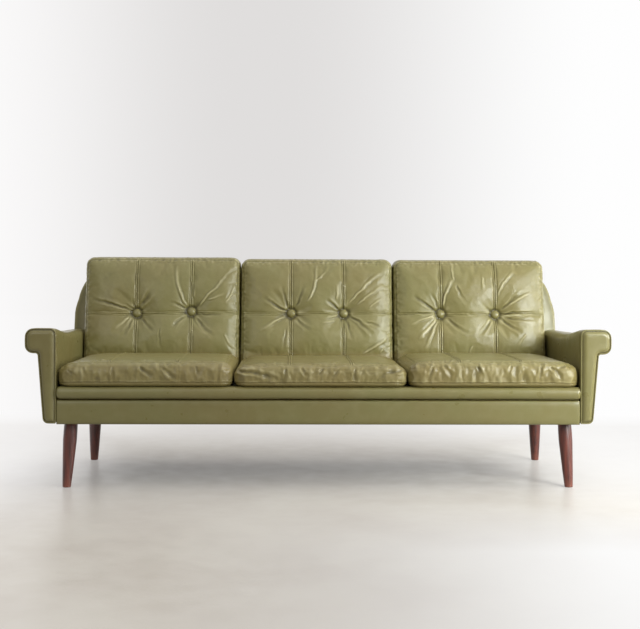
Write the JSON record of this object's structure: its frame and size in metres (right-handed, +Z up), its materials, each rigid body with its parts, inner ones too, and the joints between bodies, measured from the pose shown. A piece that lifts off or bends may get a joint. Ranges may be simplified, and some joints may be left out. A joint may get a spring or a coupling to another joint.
{
  "type": "sofa",
  "caption": "Worn leather sofa with loose boxed seat cushions, buttoned back cushions, scrolled arms and splayed turned wooden legs.",
  "frame": {"origin": "on the floor, under the middle of the sofa's overall box", "axes": "+X along the sofa to the right as seen from the front, +Y towards the back, +Z up; the sofa faces -Y"},
  "size_m": [2.054, 0.8, 0.8068],
  "materials": {
    "olive_leather": "worn semi-gloss olive leather",
    "button_leather": "semi-gloss olive leather over a metal shell",
    "leg_wood": "dark red-brown stain under a satin varnish",
    "beech_timber": "sawn, unfinished",
    "rubber_webbing": "matte",
    "deck_canvas": "matte olive canvas over padding",
    "dust_cambric": "matte black cambric",
    "zinc_steel": "zinc plated"
  },
  "bodies": {
    "root": {"arm_board_left": "beech_timber", "arm_board_right": "beech_timber", "arm_facing_left": "olive_leather", "arm_facing_right": "olive_leather", "arm_left": "olive_leather", "arm_right": "olive_leather", "back_cushion_left": "olive_leather", "back_cushion_middle": "olive_leather", "back_cushion_right": "olive_leather", "back_post_inner_left": "beech_timber", "back_post_inner_right": "beech_timber", "back_post_outer_left": "beech_timber", "back_post_outer_right": "beech_timber", "back_rail": "beech_timber", "back_strap_1": "rubber_webbing", "back_strap_2": "rubber_webbing", "back_strap_3": "rubber_webbing", "back_strap_4": "rubber_webbing", "back_strap_5": "rubber_webbing", "back_strap_6": "rubber_webbing", "back_top_rail": "beech_timber", "button_1": "button_leather", "button_2": "button_leather", "button_3": "button_leather", "button_4": "button_leather", "button_5": "button_leather", "button_6": "button_leather", "corner_block_back_left": "beech_timber", "corner_block_back_right": "beech_timber", "corner_block_front_left": "beech_timber", "corner_block_front_right": "beech_timber", "cross_rail_left": "beech_timber", "cross_rail_right": "beech_timber", "dust_cover": "dust_cambric", "front_lip": "olive_leather", "front_rail": "beech_timber", "inside_back": "olive_leather", "leg_back_left": "leg_wood", "leg_back_right": "leg_wood", "leg_front_left": "leg_wood", "leg_front_right": "leg_wood", "leg_stud_back_left": "zinc_steel", "leg_stud_back_right": "zinc_steel", "leg_stud_front_left": "zinc_steel", "leg_stud_front_right": "zinc_steel", "outside_back": "olive_leather", "rail_cover": "olive_leather", "seat_cushion_left": "olive_leather", "seat_cushion_middle": "olive_leather", "seat_cushion_right": "olive_leather", "seat_deck": "deck_canvas", "seat_strap_1": "rubber_webbing", "seat_strap_2": "rubber_webbing", "seat_strap_3": "rubber_webbing", "seat_strap_4": "rubber_webbing", "seat_strap_5": "rubber_webbing", "seat_strap_6": "rubber_webbing", "side_rail_left": "beech_timber", "side_rail_right": "beech_timber"}
  },
  "joints": []
}
